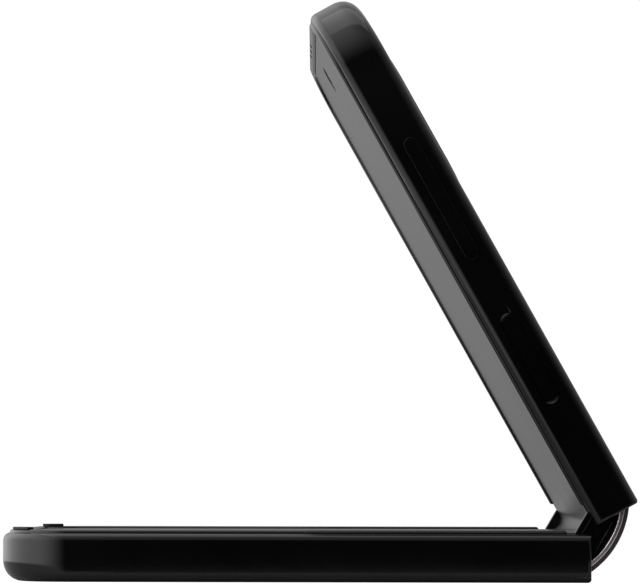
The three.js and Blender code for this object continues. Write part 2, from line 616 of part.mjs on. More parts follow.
const BED = { half: 5.6, inner: 25.2, low: 3.2, high: 3.9, seatHalf: 4.5, seatEnd: 2.6, floor: 0.25 };
const trayBed = cut(
  box(TRAY.u - BED.half, TRAY.u + BED.half, BED.inner, HALF_WIDTH - WALL / 2, BED.low, BED.high),
  raise(
    roundedRect(TRAY.u - BED.seatHalf, TRAY.u + BED.seatHalf, BED.inner + 1.3, HALF_WIDTH - BED.seatEnd, 0.6),
    BED.low + BED.floor, RIM_TOP, 3),
);
const trayFace = sweep(keyOutline(TRAY), HALF_WIDTH - WALL + SEAT_GAP, HALF_WIDTH - FIT);
addUpper('sim_tray', join(trayBed, trayFace), frameMetal);

export default group;
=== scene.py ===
"""Looks of the folding pocket computer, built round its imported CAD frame."""
import json
import math

import bmesh
import bpy
from mathutils import Matrix, Vector


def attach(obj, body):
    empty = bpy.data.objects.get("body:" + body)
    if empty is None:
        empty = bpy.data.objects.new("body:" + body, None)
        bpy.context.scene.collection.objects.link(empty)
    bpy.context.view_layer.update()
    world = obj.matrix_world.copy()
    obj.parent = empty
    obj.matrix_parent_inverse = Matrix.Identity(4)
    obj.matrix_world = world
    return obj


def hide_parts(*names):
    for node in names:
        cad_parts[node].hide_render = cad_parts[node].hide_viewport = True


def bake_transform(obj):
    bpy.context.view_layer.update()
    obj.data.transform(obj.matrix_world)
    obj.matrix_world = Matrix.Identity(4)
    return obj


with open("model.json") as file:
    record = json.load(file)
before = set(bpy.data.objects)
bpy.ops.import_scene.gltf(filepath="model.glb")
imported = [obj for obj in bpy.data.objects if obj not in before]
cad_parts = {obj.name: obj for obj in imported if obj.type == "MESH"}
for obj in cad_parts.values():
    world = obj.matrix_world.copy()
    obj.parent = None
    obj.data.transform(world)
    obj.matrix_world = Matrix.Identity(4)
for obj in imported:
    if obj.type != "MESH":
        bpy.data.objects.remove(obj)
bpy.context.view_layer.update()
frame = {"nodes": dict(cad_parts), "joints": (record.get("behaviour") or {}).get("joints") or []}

# ------------------------------------------------------------------ driving sizes, in mm
MM = 0.001
HALF_LENGTH = 84.15
HALF_WIDTH = 36.8
COVER_TOP = 0.8
FRAME_TOP = 6.94
RIM_TOP = 7.4
SCREEN_LEVEL = 7.05
SCREEN_THICKNESS = 0.5
SCREEN_GAP = 0.1
END_INSET = 0.1
FOLD_END_RADIUS = 0.5
PLAN_RADIUS = 9.5
WALL = 1.6
FIT = 0.06
COVER_GAP = 0.015
RIM_OUTER_INSET = 0.95
RIM_INNER_INSET = 2.4
RIM_SEAT = 6.3
RIM_END = 3.5
MID_PLATE = (5.1, 5.7)
WEB_START = 8.0
TIP_LOW_RADIUS = 2.9
FLANK_LOW_RADIUS = 1.3
TOP_RADIUS = 1.1
TIP = HALF_LENGTH
SPINE_HALF_WIDTH = 34.9
SPINE_WALL = 1.25

joints = {j["name"]: j for j in frame["joints"]}
lower_axis = Vector(joints["lower_hinge"]["pos_m"]) / MM
upper_axis = Vector(joints["upper_hinge"]["pos_m"]) / MM
span = upper_axis - lower_axis
TURN = math.atan2(span.z, span.x)
SETBACK = span.length / 2
AXIS_LEVEL = lower_axis.z
FOLD_X = lower_axis.x + SETBACK

# The screen's bend at rest keeps the film's length.
axis_cover = SCREEN_LEVEL - AXIS_LEVEL
fold_reach = (SETBACK - axis_cover * math.sin(TURN)) / math.cos(TURN)
FOLD_RADIUS = (fold_reach - SETBACK) / (math.tan(TURN) - TURN)
SCREEN_START = FOLD_RADIUS * TURN

# ---------------------------------------------------- placement of each body's own frame


def shift(x, z):
    return Matrix.Translation((x, 0, z))


def lift(angle):
    """Turn about the Y axis that lifts +X towards +Z."""
    return Matrix.Rotation(-angle, 4, "Y")


PLACE = {
    "lower_half": shift(FOLD_X, 0),
    "spine": shift(lower_axis.x, lower_axis.z) @ lift(TURN) @ shift(SETBACK, 0),
    "upper_half": shift(upper_axis.x, upper_axis.z) @ lift(2 * TURN) @ shift(-SETBACK, -AXIS_LEVEL),
}
for moving in ("volume_key", "power_key", "sim_tray"):
    PLACE[moving] = PLACE["upper_half"]
LOWER = -1
UPPER = 1

# Edge roundings: width, segments and, if it isn't 40 degrees, the angle from which an edge counts.
EDGES = {
    "frame": (0.1, 2),
    "glass": (0.05, 2),
    "sheet": (0.05, 2, 60),
    "rim": (0.43, 7),
    "pad": (0.13, 4),
    "part": (0.08, 2),
    "pressed": (0.06, 2),
    "spine_shell": (0.18, 4, 50),
    "spine_bead": (0.27, 6, 50),
    "end_plug": (0.14, 3, 60),
    "bridge": (0.12, 3, 60),
    "island": (0.16, 4),
    "lens_trim": (0.09, 3),
    "rocker": (0.24, 4),
}
DEFAULT_EDGE_ANGLE = 40

# How far the cutting bodies reach past the halves, below, above and through each long wall.
UNDER = -1
OVER = 9
NEAR_WALL = (-HALF_WIDTH - 1, -HALF_WIDTH + WALL + 1)
FAR_WALL = (HALF_WIDTH - WALL - 1, HALF_WIDTH + 1)

# ------------------------------------------------------------------------- mesh helpers


def make(name, verts, faces):
    mesh = bpy.data.meshes.new(name)
    mesh.from_pydata([tuple(v) for v in verts], [], faces)
    bm = bmesh.new()
    bm.from_mesh(mesh)
    bmesh.ops.remove_doubles(bm, verts=bm.verts, dist=1e-5)
    bmesh.ops.recalc_face_normals(bm, faces=bm.faces)
    bm.to_mesh(mesh)
    bm.free()
    obj = bpy.data.objects.new(name, mesh)
    bpy.context.scene.collection.objects.link(obj)
    return obj


def settle(obj):
    """Applies the object's modifiers to its mesh."""
    depsgraph = bpy.context.evaluated_depsgraph_get()
    mesh = bpy.data.meshes.new_from_object(obj.evaluated_get(depsgraph))
    old = obj.data
    obj.modifiers.clear()
    obj.data = mesh
    bpy.data.meshes.remove(old)
    return obj


def combine(obj, tool, operation):
    modifier = obj.modifiers.new("combine", "BOOLEAN")
    modifier.object = tool
    modifier.operation = operation
    modifier.solver = "EXACT"
    settle(obj)
    mesh = tool.data
    bpy.data.objects.remove(tool)
    bpy.data.meshes.remove(mesh)
    return obj


def cut(obj, *tools):
    for tool in tools:
        combine(obj, tool, "DIFFERENCE")
    return obj


def join(obj, *others):
    for other in others:
        combine(obj, other, "UNION")
    return obj


def bevel(obj, edge):
    width, segments, angle = (*EDGES[edge], DEFAULT_EDGE_ANGLE)[:3]
    modifier = obj.modifiers.new("bevel", "BEVEL")
    modifier.width = width
    modifier.segments = segments
    modifier.limit_method = "ANGLE"
    modifier.angle_limit = math.radians(angle)
    modifier.miter_outer = "MITER_ARC"
    return settle(obj)


def prism(name, outline, axis, low, high):
    """Outline swept along an axis. Its pairs are the other two coordinates, in X, Y, Z order."""
    def point(a, b, c):
        return {"x": (c, a, b), "y": (a, c, b), "z": (a, b, c)}[axis]
    n = len(outline)
    verts = [point(a, b, low) for a, b in outline] + [point(a, b, high) for a, b in outline]
    faces = [(i, (i + 1) % n, (i + 1) % n + n, i + n) for i in range(n)]
    faces += [tuple(range(n)), tuple(range(n, 2 * n))]
    return make(name, verts, faces)


def block(name, x, y, z):
    return prism(name, [(x[0], y[0]), (x[1], y[0]), (x[1], y[1]), (x[0], y[1])], "z", *z)


def arc(ca, cb, radius, start, end, steps):
    angles = [start + (end - start) * i / steps for i in range(steps + 1)]
    return [(ca + radius * math.cos(t), cb + radius * math.sin(t)) for t in angles]


def circle(ca, cb, radius, steps=64):
    return arc(ca, cb, radius, 0, 2 * math.pi, steps)[:-1]


def rounded_rect(a0, a1, b0, b1, radius, steps=10):
    quarter = math.pi / 2
    radius = min(radius, (a1 - a0) / 2 - 1e-3, (b1 - b0) / 2 - 1e-3)
    points = []
    for ca, cb, k in ((a1 - radius, b0 + radius, -1), (a1 - radius, b1 - radius, 0),
                      (a0 + radius, b1 - radius, 1), (a0 + radius, b0 + radius, 2)):
        points += arc(ca, cb, radius, k * quarter, (k + 1) * quarter, steps)
    return points


def edge_inset(z, low_radius, high_radius, top):
    """How far a wall with rounded edges has drawn in at height z."""
    if z < low_radius:
        return low_radius - math.sqrt(low_radius ** 2 - (low_radius - z) ** 2)
    rise = z - (top - high_radius)
    if rise > 0:
        return high_radius - math.sqrt(max(0, high_radius ** 2 - rise ** 2))
    return 0


def stack(name, side, levels, steps=28):
    """Solid through outlines that are square at the fold and round at the tip."""
    rings = []
    for level in levels:
        z, start, tip, flank, radius = level
        ring = [(start, -flank)]
        ring += arc(tip - radius, -flank + radius, radius, -math.pi / 2, 0, steps)
        ring += arc(tip - radius, flank - radius, radius, 0, math.pi / 2, steps)
        ring += [(start, flank)]
        rings.append([(side * u, y, z) for u, y in ring])
    n = len(rings[0])
    verts = [p for ring in rings for p in ring]
    faces = [tuple(range(n)), tuple(range(len(verts) - n, len(verts)))]
    for k in range(len(rings) - 1):
        for i in range(n):
            j = (i + 1) % n
            faces.append((k * n + i, k * n + j, (k + 1) * n + j, (k + 1) * n + i))
    return make(name, verts, faces)


def body_level(z):
    tip_inset = edge_inset(z, TIP_LOW_RADIUS, TOP_RADIUS, FRAME_TOP)
    flank_inset = edge_inset(z, FLANK_LOW_RADIUS, TOP_RADIUS, FRAME_TOP)
    radius = PLAN_RADIUS - (tip_inset + flank_inset) / 2
    return (z, END_INSET, TIP - tip_inset, HALF_WIDTH - flank_inset, radius)


def inset_block(name, side, inset, low, high, start=-1.0):
    """Straight-walled block that stays a set distance inside the body's outline."""
    shape = (start, TIP - inset, HALF_WIDTH - inset, PLAN_RADIUS - inset)
    return stack(name, side, [(low, *shape), (high, *shape)])


# ---------------------------------------------------------------------------- materials


def new_material(name):
    material = bpy.data.materials.new(name)
    material.use_nodes = True
    nodes = material.node_tree.nodes
    return material, nodes, material.node_tree.links, nodes["Principled BSDF"]


def fine_noise(nodes, links, scale, detail=3.0, stretch=(1, 1, 1)):
    place = nodes.new("ShaderNodeTexCoord")
    mapping = nodes.new("ShaderNodeMapping")
    mapping.inputs["Scale"].default_value = stretch
    noise = nodes.new("ShaderNodeTexNoise")
    noise.inputs["Scale"].default_value = scale
    noise.inputs["Detail"].default_value = detail
    links.new(place.outputs["Object"], mapping.inputs["Vector"])
    links.new(mapping.outputs["Vector"], noise.inputs["Vector"])
    return noise


def ramp(nodes, links, source, low, high, start=0.35, end=0.65):
    """Colours or greys between low and high, steered by a noise."""
    shade = nodes.new("ShaderNodeValToRGB")
    shade.color_ramp.elements[0].position = start
    shade.color_ramp.elements[1].position = end
    shade.color_ramp.elements[0].color = (*low, 1)
    shade.color_ramp.elements[1].color = (*high, 1)
    links.new(source, shade.inputs["Fac"])
    return shade.outputs["Color"]


def finish(name, low, high, roughness, scale, metallic=0.0, specular=0.5, bump=0.0, bump_scale=None,
           stretch=(1, 1, 1), coat=0.0, grain=4.0):
    """Colour between low and high, roughness between two values, both uneven over the surface."""
    material, nodes, links, shader = new_material(name)
    clouds = fine_noise(nodes, links, scale, grain, stretch)
    links.new(ramp(nodes, links, clouds.outputs["Fac"], low, high), shader.inputs["Base Color"])
    wear = fine_noise(nodes, links, scale * 2.7, 5.0, stretch)
    spread = nodes.new("ShaderNodeMapRange")
    spread.inputs["From Min"].default_value = 0.3
    spread.inputs["From Max"].default_value = 0.7
    spread.inputs["To Min"].default_value = roughness[0]
    spread.inputs["To Max"].default_value = roughness[1]
    links.new(wear.outputs["Fac"], spread.inputs["Value"])
    links.new(spread.outputs["Result"], shader.inputs["Roughness"])
    shader.inputs["Metallic"].default_value = metallic
    shader.inputs["Specular IOR Level"].default_value = specular
    shader.inputs["Coat Weight"].default_value = coat
    shader.inputs["Coat Roughness"].default_value = 0.06
    if bump:
        relief = fine_noise(nodes, links, bump_scale, 2.0, stretch)
        lift_node = nodes.new("ShaderNodeBump")
        lift_node.inputs["Strength"].default_value = bump
        lift_node.inputs["Distance"].default_value = 0.0001
        links.new(relief.outputs["Fac"], lift_node.inputs["Height"])
        links.new(lift_node.outputs["Normal"], shader.inputs["Normal"])
    return material


def grey(value, tint=(1, 1, 1)):
    return tuple(value * t for t in tint)


LOOKS = {
    "frame_metal": finish("frame_metal", grey(0.0015), grey(0.003), (0.09, 0.12), 60, specular=0.5,
                          bump=0.03, bump_scale=9000),
    "back_glass": finish("back_glass", grey(0.003), grey(0.005), (0.03, 0.07), 25),
    "rim_plastic": finish("rim_plastic", grey(0.002), grey(0.004), (0.1, 0.14), 90,
                          bump=0.05, bump_scale=6000),
    "screen_film": finish("screen_film", grey(0.004), grey(0.006), (0.18, 0.22), 18),
    "spine_metal": finish("spine_metal", (0.1, 0.084, 0.09), (0.13, 0.11, 0.117), (0.3, 0.38), 50,
                          metallic=0.9, stretch=(1, 0.2, 1)),
    # Painted highlight: the spine bead's colour is far lighter than the spine metal so that a bright
    # line shows along the spine's end; only its lower roughness is real polish.
    "spine_polish_painted_highlight": finish("spine_polish_painted_highlight", (0.8, 0.73, 0.76), (0.9, 0.84, 0.86), (0.2, 0.26), 50,
                           metallic=1.0, stretch=(1, 0.2, 1)),
    "key_metal": finish("key_metal", grey(0.0015), grey(0.003), (0.06, 0.09), 120,
                        bump=0.03, bump_scale=8000),
    "rubber": finish("rubber", grey(0.008), grey(0.014), (0.6, 0.75), 150, bump=0.3, bump_scale=3000),
    "plate_steel": finish("plate_steel", grey(0.42), grey(0.55), (0.3, 0.45), 80, metallic=1.0,
                          stretch=(1, 12, 1), bump=0.1, bump_scale=900),
    "hinge_steel": finish("hinge_steel", grey(0.34), grey(0.46), (0.28, 0.4), 120, metallic=1.0,
                          bump=0.1, bump_scale=1500),
    "cell_foil": finish("cell_foil", grey(0.03), grey(0.05), (0.4, 0.55), 60, bump=0.2, bump_scale=800),
    "board_lacquer": finish("board_lacquer", (0.008, 0.05, 0.025), (0.014, 0.08, 0.04), (0.3, 0.5), 250,
                            bump=0.3, bump_scale=1200),
    "copper": finish("copper", (0.5, 0.22, 0.11), (0.7, 0.34, 0.18), (0.25, 0.4), 200, metallic=1.0,
                     bump=0.2, bump_scale=2500),
    "lens_glass": finish("lens_glass", (0.002, 0.002, 0.004), (0.004, 0.004, 0.009), (0.02, 0.04), 200),
    "light_plastic": finish("light_plastic", (0.62, 0.57, 0.44), (0.8, 0.76, 0.64), (0.3, 0.4), 900,
                            bump=0.4, bump_scale=2500),
}

# ---------------------------------------------------------------------- finishing a piece


def smooth(obj, angle=32):
    mesh = obj.data
    mesh.polygons.foreach_set("use_smooth", [True] * len(mesh.polygons))
    mesh.set_sharp_from_angle(angle=math.radians(angle))
    modifier = obj.modifiers.new("normals", "WEIGHTED_NORMAL")
    modifier.keep_sharp = True
    settle(obj)


def fit_out(obj, body, slot, replaces=(), look=None, sharp=32):
    """Moves a finished mesh into the row's frame, gives it its body and look, and hides the CAD nodes it
    replaces.
    """
    obj.data.transform(Matrix.Scale(MM, 4) @ PLACE[body])
    smooth(obj, sharp)
    obj.data.materials.clear()
    obj.data.materials.append(LOOKS[look or slot])
    if replaces:
        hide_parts(*replaces)
    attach(obj, body)
    return obj


# ------------------------------------------------------------------- pieces of both halves


def body_blank(name, side, low, high):
    """The part of a half's outer body between two heights, with eased edges at the fold."""
    heights = sorted(set(
        [TIP_LOW_RADIUS * (1 - math.cos(math.pi / 2 * i / 10)) for i in range(11)]
        + [FLANK_LOW_RADIUS * (1 - math.cos(math.pi / 2 * i / 7)) for i in range(8)]
        + [FRAME_TOP - TOP_RADIUS * (1 - math.cos(math.pi / 2 * i / 9)) for i in range(10)]))
    heights = [z for i, z in enumerate(heights) if i == 0 or z - heights[i - 1] > 0.02]
    whole = stack(name, side, [body_level(z) for z in heights])
    ease_fold_end(whole, side)
    keep = block("keep", (-90, 90), (-40, 40), (low, high))
    return combine(whole, keep, "INTERSECT")


def ease_fold_end(body, side):
    """Rounds the edges of the end face at the fold."""
    ends = sorted((side * END_INSET, side * (TIP + 5)))
    in_plan = rounded_rect(*ends, -HALF_WIDTH, HALF_WIDTH, FOLD_END_RADIUS)
    combine(body, prism("fold_end_in_plan", in_plan, "z", UNDER, OVER), "INTERSECT")
    in_profile = rounded_rect(*ends, 0, FRAME_TOP, FOLD_END_RADIUS)
    combine(body, prism("fold_end_in_profile", in_profile, "y", -40, 40), "INTERSECT")


def frame_ring(name, side):
    ring = body_blank(name, side, COVER_TOP + COVER_GAP, OVER)
    return cut(
        ring,
        inset_block("under_web", side, WALL, UNDER, MID_PLATE[0]),
        inset_block("over_web", side, WALL, MID_PLATE[1], OVER),
        inset_block("rim_seat", side, RIM_OUTER_INSET - FIT, RIM_SEAT, OVER),
        block("hinge_bay", sorted((side * -1, side * WEB_START)),
              (-HALF_WIDTH + WALL, HALF_WIDTH - WALL), (UNDER, OVER)),
    )


def rim_ring(name, side):
    outer = inset_block(name, side, RIM_OUTER_INSET, RIM_SEAT + FIT, RIM_TOP, RIM_END)
    return cut(outer, inset_block("window", side, RIM_INNER_INSET, 5, OVER, 0))


def screen_sheet(name, side):
    return inset_block(name, side, RIM_INNER_INSET + SCREEN_GAP, SCREEN_LEVEL - SCREEN_THICKNESS,
                       SCREEN_LEVEL, SCREEN_START)


# ------------------------------------------------------------------------- lower half


def slot_along_x(name, y, z, half_width, half_height, side, depth):
    outline = rounded_rect(y - half_width, y + half_width, z - half_height, z + half_height, half_height)
    return prism(name, outline, "x", *sorted((side * (TIP + 1), side * (TIP - depth))))


SOCKET = {"y": 0.0, "z": 3.5, "half_width": 4.47, "half_height": 1.28, "gap": 0.12, "radius": 2,
          "wall": 0.28, "set_in": 0.35, "depth": 11.65, "floor": -74}
TONGUE = {"start": -TIP + 1.2, "half_width": 3.3, "half_height": 0.32}
CONTACTS = {"count": 12, "first": -2.75, "pitch": 0.5, "half_width": 0.12, "half_height": 0.03,
            "start": -TIP + 1.5, "end": -76, "level": 0.34}
SPEAKER_SLOTS = {"first": 13, "pitch": 2.2, "count": 5, "half_width": 0.8, "half_height": 0.4}
MICROPHONE = {"off_centre": 9.5, "z": 3.5, "radius": 0.45}


def microphone_hole(side):
    hole = circle(side * MICROPHONE["off_centre"], MICROPHONE["z"], MICROPHONE["radius"], 24)
    return prism("microphone", hole, "x", *sorted((side * (TIP + 1), side * (TIP - WALL - 1))))


def build_lower_frame():
    ring = frame_ring("lower_frame_shell", LOWER)
    cut(ring, slot_along_x("socket", SOCKET["y"], SOCKET["z"], SOCKET["half_width"] + SOCKET["gap"],
                           SOCKET["half_height"] + SOCKET["gap"], LOWER, WALL + 1))
    cut(ring, microphone_hole(LOWER))
    for k in range(SPEAKER_SLOTS["count"]):
        y = SPEAKER_SLOTS["first"] + k * SPEAKER_SLOTS["pitch"]
        cut(ring, slot_along_x("speaker_slot", y, SOCKET["z"], SPEAKER_SLOTS["half_width"],
                               SPEAKER_SLOTS["half_height"], LOWER, WALL + 1))
    bevel(ring, "frame")
    fit_out(ring, "lower_half", "frame_metal", ["lower_frame"])


def build_socket():
    def outline(grow):
        return rounded_rect(-SOCKET["half_width"] - grow, SOCKET["half_width"] + grow,
                            SOCKET["z"] - SOCKET["half_height"] - grow,
                            SOCKET["z"] + SOCKET["half_height"] + grow, SOCKET["radius"], 14)
    shell = prism("socket_shell", outline(0), "x", -TIP + SOCKET["set_in"], -TIP + SOCKET["depth"])
    cut(shell, prism("mouth", outline(-SOCKET["wall"]), "x", -TIP - 1, SOCKET["floor"]))
    bevel(shell, "pressed")
    fit_out(shell, "lower_half", "plate_steel", ["usb_c_port"])
    tongue = block("socket_tongue", (TONGUE["start"], SOCKET["floor"]),
                   (-TONGUE["half_width"], TONGUE["half_width"]),
                   (SOCKET["z"] - TONGUE["half_height"], SOCKET["z"] + TONGUE["half_height"]))
    bevel(tongue, "part")
    fit_out(tongue, "lower_half", "rim_plastic")
    width, height = CONTACTS["half_width"], CONTACTS["half_height"]
    for k in range(CONTACTS["count"]):
        y = CONTACTS["first"] + CONTACTS["pitch"] * k
        for name, rise in (("bottom", -CONTACTS["level"]), ("top", CONTACTS["level"])):
            z = SOCKET["z"] + rise
            pin = block(f"socket_contact_{k}_{name}", (CONTACTS["start"], CONTACTS["end"]),
                        (y - width, y + width), (z - height, z + height))
            fit_out(pin, "lower_half", "copper")


def build_lower_skins():
    cover = body_blank("lower_back_glass", LOWER, UNDER, COVER_TOP)
    bevel(cover, "glass")
    fit_out(cover, "lower_half", "back_glass", ["lower_back_cover"])
    rim = bevel(rim_ring("lower_rim_moulding", LOWER), "rim")
    fit_out(rim, "lower_half", "rim_plastic", ["lower_rim"])
    screen = bevel(screen_sheet("lower_screen_sheet", LOWER), "sheet")
    fit_out(screen, "lower_half", "screen_film", ["lower_screen"])


BUMPER = {"arc": (20, 49), "margin": 0.1, "sunk": 0.05, "proud": 0.37}


def build_bumper(name, end):
    """Pad that follows one tip corner of the rim."""
    u, y = TIP - PLAN_RADIUS, HALF_WIDTH - PLAN_RADIUS
    start, stop = (math.radians(a) for a in BUMPER["arc"])
    outer = arc(u, y, PLAN_RADIUS - RIM_OUTER_INSET - BUMPER["margin"], start, stop, 16)
    inner = arc(u, y, PLAN_RADIUS - RIM_INNER_INSET + BUMPER["margin"], stop, start, 16)
    outline = [(-a, end * b) for a, b in outer + inner]
    pad = prism(f"bumper_pad_{name}", outline, "z", RIM_TOP - BUMPER["sunk"], RIM_TOP + BUMPER["proud"])
    bevel(pad, "pad")
    fit_out(pad, "lower_half", "rubber", [f"bumper_{name}"])


# ------------------------------------------------------------------------- spine
SPINE_BACK_RADIUS = 12.8
SPINE_BOTTOM = -5.3
SPINE_BACK_HALF = math.radians(24)
SPINE_SIDE_RADIUS = 3.5
SPINE_LIP = -1.4
BACK_CENTRE = SPINE_BOTTOM + SPINE_BACK_RADIUS

# Stations along the hinge, measured from its middle.
SHELL_HALF_WIDTH = SPINE_HALF_WIDTH - 0.3
BEAD_START = 34.3
BEAD_INSET = 0.6
PLUG_REACH = (33.9, 34.75)
RECESS_REACH = (34.4, 36)
RECESS_SPAN = (-9, 9)
LEDGE = -3.15
BRIDGE_REACH = (34.45, 35.8)
BRIDGE_FOOT_REACH = (34.45, 34.88)


def spine_half_outline(inset, steps=14):
    """Right half of the spine's section, from the middle of its back to its lip."""
    down = -math.pi / 2
    points = arc(0, BACK_CENTRE, SPINE_BACK_RADIUS - inset, down, down + SPINE_BACK_HALF, steps)
    drop = SPINE_BACK_RADIUS - SPINE_SIDE_RADIUS
    u = drop * math.sin(SPINE_BACK_HALF)
    v = BACK_CENTRE - drop * math.cos(SPINE_BACK_HALF)
    radius = SPINE_SIDE_RADIUS - inset
    lip = math.asin((SPINE_LIP - v) / radius)
    return points + arc(u, v, radius, down + SPINE_BACK_HALF, lip, steps)[1:]


def spine_outline(inset):
    right = spine_half_outline(inset)
    left = [(-u, v) for u, v in right[1:]][::-1]
    return left + right


BRIDGE_HEAD = rounded_rect(-1.9, 1.9, -0.25, 0.75, 0.3)
# Wedge under the rim bridge, and the tongue that stands in front of the end cap.
BRIDGE_FOOT = [(-0.7, -2.4), (0.7, -2.4), (0.75, -1.45), (1.75, -0.3), (1.75, -0.2), (-1.75, -0.2),
               (-1.75, -0.3), (-0.75, -1.45)]


def across(end, low, high):
    return (low, high) if end > 0 else (-high, -low)


def build_spine():
    skin = spine_outline(0) + spine_outline(SPINE_WALL)[::-1]
    cover = prism("spine_shell", skin, "y", -SHELL_HALF_WIDTH, SHELL_HALF_WIDTH)
    bevel(cover, "spine_shell")
    fit_out(cover, "spine", "spine_metal", ["spine_cover"])
    for name, end in (("near", -1), ("far", 1)):
        ring = spine_outline(BEAD_INSET) + spine_outline(SPINE_WALL)[::-1]
        bead = prism(f"spine_bead_{name}", ring, "y", *across(end, BEAD_START, SPINE_HALF_WIDTH))
        bevel(bead, "spine_bead")
        # The bead wears the lighter copy of the spine metal, a painted highlight along the spine's end.
        fit_out(bead, "spine", "spine_metal", look="spine_polish_painted_highlight")
        inside = spine_outline(SPINE_WALL + FIT)
        plug = prism(f"spine_end_plug_{name}", inside, "y", *across(end, *PLUG_REACH))
        cut(plug, block("recess", RECESS_SPAN, across(end, *RECESS_REACH), (LEDGE, 0)))
        bevel(plug, "end_plug")
        fit_out(plug, "spine", "rim_plastic", [f"spine_end_cap_{name}"])
        head = prism(f"rim_bridge_moulding_{name}", BRIDGE_HEAD, "y",
                     *across(end, *BRIDGE_REACH))
        foot = prism(f"rim_bridge_foot_{name}", BRIDGE_FOOT, "y", *across(end, *BRIDGE_FOOT_REACH))
        bevel(head, "bridge")
        fit_out(head, "spine", "rim_plastic", [f"rim_bridge_{name}"])
        fit_out(foot, "spine", "rim_plastic")


# The ribbon's straight end and the height at which it passes the middle of the spine.
RIBBON = {"half_width": 7, "half_thickness": 0.09, "tail": (13, 4.35), "hold": (6.5, 4.0),
          "bottom": -3.3, "pull": 3, "steps": 16}
BEND_THICKNESS = 0.3


def cubic(a, b, c, d, t):
    """Point on the curve from a to d that is pulled towards b and c."""
    rest = 1 - t
    return a * rest ** 3 + b * 3 * rest ** 2 * t + c * 3 * rest * t ** 2 + d * t ** 3


def bend_with(sheet, node, look, half):
    """Places a sheet drawn in the spine's frame in the row, smooths it, gives it its look and hides the
    CAD node it stands for.
    """
    to_row = Matrix.Scale(MM, 4) @ PLACE["spine"]
    sheet.data.transform(to_row)
    smooth(sheet)
    sheet.data.materials.append(LOOKS[look])
    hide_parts(node)
    if half == "lower_half":
        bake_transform(sheet)
    else:
        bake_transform(sheet)


def build_bend():
    """The screen's bend in two sheets, one between each half and the spine."""
    apex = axis_cover / math.cos(TURN) - SETBACK * math.tan(TURN)
    centre = apex + FOLD_RADIUS / math.cos(TURN)
    down = -math.pi / 2
    width = HALF_WIDTH - RIM_INNER_INSET - SCREEN_GAP
    for name, side, half in (("lower", LOWER, "lower_half"), ("upper", UPPER, "upper_half")):
        inner = arc(0, centre, FOLD_RADIUS, down, down + side * TURN, 18)
        outer = arc(0, centre, FOLD_RADIUS + BEND_THICKNESS, down, down + side * TURN, 18)
        sheet = prism(f"screen_bend_{name}", inner + outer[::-1], "y", -width, width)
        bend_with(sheet, "screen_fold", "screen_film", half)


def build_ribbon():
    """The signal ribbon under the bend, in two sheets like the bend itself."""
    for name, side, half in (("lower", LOWER, "lower_half"), ("upper", UPPER, "upper_half")):
        def in_half(u, z):
            along, above = u - SETBACK, z - AXIS_LEVEL
            return Vector((side * (SETBACK + along * math.cos(TURN) - above * math.sin(TURN)),
                           along * math.sin(TURN) + above * math.cos(TURN)))
        tail, hold = in_half(*RIBBON["tail"]), in_half(*RIBBON["hold"])
        middle = Vector((0, RIBBON["bottom"]))
        pull = hold + (hold - tail).normalized() * RIBBON["pull"]
        level = middle + Vector((side * RIBBON["pull"], 0))
        steps = RIBBON["steps"]
        path = [tail] + [cubic(hold, pull, level, middle, i / steps) for i in range(steps + 1)]
        last = len(path) - 1
        sides = []
        for distance in (-RIBBON["half_thickness"], RIBBON["half_thickness"]):
            line = []
            for i, point in enumerate(path):
                along = (path[min(i + 1, last)] - path[max(i - 1, 0)]).normalized()
                if point == middle:
                    along = Vector((-side, 0))
                line.append((point.x - along.y * distance, point.y + along.x * distance))
            sides.append(line)
        sheet = prism(f"hinge_ribbon_{name}", sides[0] + sides[1][::-1], "y",
                      -RIBBON["half_width"], RIBBON["half_width"])
        bend_with(sheet, "hinge_flex_cable", "copper", half)


# ------------------------------------------------------------------------- upper half
KEY_GAP = 0.08
VOLUME = {"u": 51.35, "z": 3.5, "length": 19.6, "height": 2.1, "proud": 0.4}
POWER = {"u": 25.4, "z": 3.6, "length": 14.4, "height": 2.5, "proud": 0.05}
TRAY = {"u": 40.0, "z": 3.55, "length": 16.4, "height": 2.2, "sunk": 0.03}
SCOOP = {"overrun": 0.5, "depth": 0.32, "clearance": 4, "radius": 1.2}
EJECT = {"off_centre": 5.6, "radius": 0.42, "depth": 1.2}
BED = {"half_length": 5.6, "end": 25.2, "z": (3.2, 3.9), "card_half": 4.5, "card_end": 26.5,
       "card_margin": 2.6, "card_radius": 0.6, "card_floor": 3.45}
EYE = {"u": 77.2, "y": 0.0, "radius": 2.25, "hole": 2.75, "barrel": 2.15, "bore": 1.25,
       "barrel_z": (4.6, 6.9), "lens_z": 6.2}
EARPIECE_SLOTS = {"pitch": 6.6, "half_length": 1.1, "insets": (1.95, 1.4), "radius": 0.26}
ISLAND = {"u": (51.0, 74.2), "y": (-33.3, -22.3), "radius": 5.4, "proud": 0.3}
LENS_SPOTS = (("main", 68.6), ("wide", 56.6))
LENS = {"hole": 4.3, "trim": 4.22, "bore": 3.75, "window": 3.7, "proud": 0.08, "sunk": 0.02,
        "trim_floor": 0.6, "window_back": 0.25}
FLASH = {"u": 71.3, "y": -18.4, "radius": 1.9, "z": (0.01, 1.4)}
DISPLAY = {"u": (58.5, 70.2), "y": (-14.2, 13.0), "radius": 1.6, "z": (0.0, 1.2)}


def key_outline(key, grow=0.0):
    half_length = key["length"] / 2 + grow
    half_height = key["height"] / 2 + grow
    return rounded_rect(key["u"] - half_length, key["u"] + half_length,
                        key["z"] - half_height, key["z"] + half_height, half_height, 12)


def panel_outline(panel, grow=0.0):
    (u0, u1), (y0, y1) = panel["u"], panel["y"]
    return rounded_rect(u0 - grow, u1 + grow, y0 - grow, y1 + grow, panel["radius"] + grow, 14)


